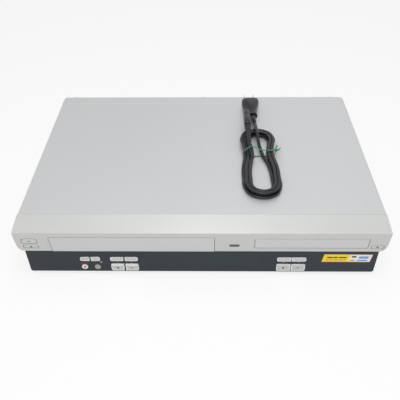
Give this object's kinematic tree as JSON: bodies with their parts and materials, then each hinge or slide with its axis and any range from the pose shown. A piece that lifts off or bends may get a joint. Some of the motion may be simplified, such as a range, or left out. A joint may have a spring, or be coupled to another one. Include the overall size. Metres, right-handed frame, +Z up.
{
  "type": "dvd vcr combo player",
  "caption": "Slim silver player for discs and video cassettes, with a disc tray, a cassette flap, front keys, working mechanisms inside, rear sockets and a tied mains lead on top.",
  "frame": {"origin": "on the ground under the middle of the player's overall box, measured without the mains lead", "axes": "+X to the player's left-to-right as seen from the front, +Y from the front to the rear sockets, +Z up from the ground"},
  "size_m": [0.43, 0.3036, 0.1019],
  "materials": {
    "silver_plastic": "satin silver moulding",
    "silver_paint": "silver paint on folded steel",
    "dark_panel": "glossy dark blue-grey moulding",
    "pale_key": "pale grey keys",
    "black_plastic": "black moulding",
    "white_plastic": "natural nylon",
    "steel": "plated sheet steel",
    "drum_metal": "turned and polished",
    "board_green": "green circuit board",
    "board_brown": "brown circuit board",
    "foot_rubber": "matt black",
    "cord_black": "near-black flexible sheath",
    "tie_green": "green coated wire"
  },
  "bodies": {
    "case": {"bottom_chassis": "steel", "rear_panel": "steel", "top_cover": "silver_paint", "front_fascia": "silver_plastic", "control_panel": "dark_panel", "foot_front_left": "foot_rubber", "foot_front_right": "foot_rubber", "foot_rear_left": "foot_rubber", "foot_rear_right": "foot_rubber", "loader_frame": "black_plastic", "clamp_bridge": "steel", "tray_motor": "steel", "vcr_deck_plate": "steel", "drum_base": "drum_metal", "carriage_frame": "steel", "main_board": "board_green", "power_board": "board_brown", "front_board": "board_brown", "mains_inlet": "black_plastic", "jack_block": "black_plastic", "cord_hank": "cord_black", "mains_plug": "cord_black", "cord_connector": "cord_black", "twist_tie": "tie_green"},
    "disc_tray": {"disc_tray": "black_plastic", "tray_lid": "silver_plastic"},
    "traverse_frame": {"traverse_frame": "steel", "guide_rod_left": "drum_metal", "guide_rod_right": "drum_metal"},
    "power_button": {"power_button": "silver_plastic"},
    "eject_button": {"eject_button": "silver_plastic"},
    "open_close_button": {"open_close_button": "silver_plastic"},
    "channel_down_button": {"channel_down_button": "pale_key"},
    "channel_up_button": {"channel_up_button": "pale_key"},
    "record_button": {"record_button": "pale_key"},
    "timer_button": {"timer_button": "pale_key"},
    "vcr_rewind_button": {"vcr_rewind_button": "pale_key"},
    "vcr_forward_button": {"vcr_forward_button": "pale_key"},
    "vcr_stop_button": {"vcr_stop_button": "pale_key"},
    "vcr_play_button": {"vcr_play_button": "pale_key"},
    "dvd_skip_back_button": {"dvd_skip_back_button": "pale_key"},
    "dvd_skip_forward_button": {"dvd_skip_forward_button": "pale_key"},
    "dvd_stop_button": {"dvd_stop_button": "pale_key"},
    "dvd_play_button": {"dvd_play_button": "pale_key"},
    "cassette_door": {"cassette_door": "silver_plastic"},
    "disc_clamper": {"disc_clamper": "black_plastic"},
    "spindle_turntable": {"spindle_turntable": "black_plastic"},
    "pickup_sled": {"pickup_sled": "black_plastic"},
    "feed_screw": {"feed_screw": "steel"},
    "tray_pinion": {"tray_pinion": "white_plastic"},
    "head_drum": {"head_drum": "drum_metal"},
    "capstan": {"capstan": "steel"},
    "pinch_arm": {"pinch_arm": "steel"},
    "pinch_roller": {"pinch_roller": "foot_rubber"},
    "supply_reel_table": {"supply_reel_table": "white_plastic"},
    "takeup_reel_table": {"takeup_reel_table": "white_plastic"},
    "carriage_slider": {"carriage_slider": "steel"},
    "cassette_holder": {"cassette_holder": "steel"},
    "tape_guide_left": {"tape_guide_left": "steel"},
    "tape_guide_right": {"tape_guide_right": "steel"}
  },
  "joints": [
    {"name": "power_press", "type": "slide", "parent": "case", "child": "power_button", "axis": [0, 1, 0], "range_m": [0, 0.0008], "stiffness_N_per_m": 300},
    {"name": "eject_press", "type": "slide", "parent": "case", "child": "eject_button", "axis": [0, 1, 0], "range_m": [0, 0.0008], "stiffness_N_per_m": 300},
    {"name": "open_close_press", "type": "slide", "parent": "case", "child": "open_close_button", "axis": [0, 1, 0], "range_m": [0, 0.0008], "stiffness_N_per_m": 300},
    {"name": "channel_down_press", "type": "slide", "parent": "case", "child": "channel_down_button", "axis": [0, 1, 0], "range_m": [0, 0.0008], "stiffness_N_per_m": 300},
    {"name": "channel_up_press", "type": "slide", "parent": "case", "child": "channel_up_button", "axis": [0, 1, 0], "range_m": [0, 0.0008], "stiffness_N_per_m": 300},
    {"name": "record_press", "type": "slide", "parent": "case", "child": "record_button", "axis": [0, 1, 0], "range_m": [0, 0.0008], "stiffness_N_per_m": 300},
    {"name": "timer_press", "type": "slide", "parent": "case", "child": "timer_button", "axis": [0, 1, 0], "range_m": [0, 0.0008], "stiffness_N_per_m": 300},
    {"name": "vcr_rewind_press", "type": "slide", "parent": "case", "child": "vcr_rewind_button", "axis": [0, 1, 0], "range_m": [0, 0.0008], "stiffness_N_per_m": 300},
    {"name": "vcr_forward_press", "type": "slide", "parent": "case", "child": "vcr_forward_button", "axis": [0, 1, 0], "range_m": [0, 0.0008], "stiffness_N_per_m": 300},
    {"name": "vcr_stop_press", "type": "slide", "parent": "case", "child": "vcr_stop_button", "axis": [0, 1, 0], "range_m": [0, 0.0008], "stiffness_N_per_m": 300},
    {"name": "vcr_play_press", "type": "slide", "parent": "case", "child": "vcr_play_button", "axis": [0, 1, 0], "range_m": [0, 0.0008], "stiffness_N_per_m": 300},
    {"name": "dvd_skip_back_press", "type": "slide", "parent": "case", "child": "dvd_skip_back_button", "axis": [0, 1, 0], "range_m": [0, 0.0008], "stiffness_N_per_m": 300},
    {"name": "dvd_skip_forward_press", "type": "slide", "parent": "case", "child": "dvd_skip_forward_button", "axis": [0, 1, 0], "range_m": [0, 0.0008], "stiffness_N_per_m": 300},
    {"name": "dvd_stop_press", "type": "slide", "parent": "case", "child": "dvd_stop_button", "axis": [0, 1, 0], "range_m": [0, 0.0008], "stiffness_N_per_m": 300},
    {"name": "dvd_play_press", "type": "slide", "parent": "case", "child": "dvd_play_button", "axis": [0, 1, 0], "range_m": [0, 0.0008], "stiffness_N_per_m": 300},
    {"name": "cassette_door_swing", "type": "hinge", "parent": "case", "child": "cassette_door", "pos_m": [-0.0796, -0.14995, 0.0658], "axis": [1, 0, 0], "range_deg": [0, 80], "stiffness_Nm_per_rad": 0.004},
    {"name": "disc_tray_slide", "type": "slide", "parent": "case", "child": "disc_tray", "axis": [0, -1, 0], "range_m": [0, 0.138]},
    {"name": "tray_pinion_spin", "type": "hinge", "parent": "case", "child": "tray_pinion", "pos_m": [0.0802, -0.1278, 0.0502], "axis": [0, 0, 1], "range_deg": [0, 1130]},
    {"name": "traverse_tip", "type": "hinge", "parent": "case", "child": "traverse_frame", "pos_m": [0.1272, 0.0368, 0.046], "axis": [1, 0, 0], "range_deg": [0, 3.5]},
    {"name": "turntable_spin", "type": "hinge", "parent": "traverse_frame", "child": "spindle_turntable", "pos_m": [0.1272, -0.0772, 0.0608], "axis": [0, 0, 1], "continuous": true},
    {"name": "disc_clamper_spin", "type": "hinge", "parent": "case", "child": "disc_clamper", "pos_m": [0.1272, -0.0772, 0.0666], "axis": [0, 0, 1], "continuous": true},
    {"name": "pickup_slide", "type": "slide", "parent": "traverse_frame", "child": "pickup_sled", "axis": [0, 1, 0], "range_m": [0, 0.034]},
    {"name": "feed_screw_spin", "type": "hinge", "parent": "traverse_frame", "child": "feed_screw", "pos_m": [0.1652, -0.0939, 0.0505], "axis": [0, 1, 0], "range_deg": [0, 2041]},
    {"name": "head_drum_spin", "type": "hinge", "parent": "case", "child": "head_drum", "pos_m": [-0.0796, 0.05162, 0.04202], "axis": [0, -0.1028, 0.9947], "continuous": true},
    {"name": "capstan_spin", "type": "hinge", "parent": "case", "child": "capstan", "pos_m": [-0.0236, 0.0102, 0.0264], "axis": [0, 0, 1], "continuous": true},
    {"name": "pinch_arm_swing", "type": "hinge", "parent": "case", "child": "pinch_arm", "pos_m": [-0.01, 0.0332, 0.0272], "axis": [0, 0, -1], "range_deg": [0, 18]},
    {"name": "pinch_roller_spin", "type": "hinge", "parent": "pinch_arm", "child": "pinch_roller", "pos_m": [-0.00689, 0.01003, 0.0272], "axis": [0, 0, 1], "continuous": true},
    {"name": "supply_reel_spin", "type": "hinge", "parent": "case", "child": "supply_reel_table", "pos_m": [-0.1259, -0.0338, 0.0267], "axis": [0, 0, 1], "continuous": true},
    {"name": "takeup_reel_spin", "type": "hinge", "parent": "case", "child": "takeup_reel_table", "pos_m": [-0.0333, -0.0338, 0.0267], "axis": [0, 0, 1], "continuous": true},
    {"name": "carriage_slide", "type": "slide", "parent": "case", "child": "carriage_slider", "axis": [0, 1, 0], "range_m": [0, 0.035]},
    {"name": "holder_drop", "type": "slide", "parent": "carriage_slider", "child": "cassette_holder", "axis": [0, 0, -1], "range_m": [0, 0.011]},
    {"name": "tape_guide_right_run", "type": "hinge", "parent": "case", "child": "tape_guide_right", "pos_m": [-0.0796, 0.0532, 0.0267], "axis": [0, 0, 1], "range_deg": [0, 100]},
    {"name": "tape_guide_left_run", "type": "hinge", "parent": "case", "child": "tape_guide_left", "pos_m": [-0.0796, 0.0532, 0.0267], "axis": [0, 0, 1], "range_deg": [-100, 0]}
  ],
  "couplings": [
    {"joint": "tray_pinion_spin", "follows": "disc_tray_slide", "rad_per_m": 142.86},
    {"joint": "disc_clamper_spin", "follows": "turntable_spin", "ratio": 1},
    {"joint": "feed_screw_spin", "follows": "pickup_slide", "rad_per_m": 1047.2},
    {"joint": "tape_guide_left_run", "follows": "tape_guide_right_run", "ratio": -1}
  ]
}
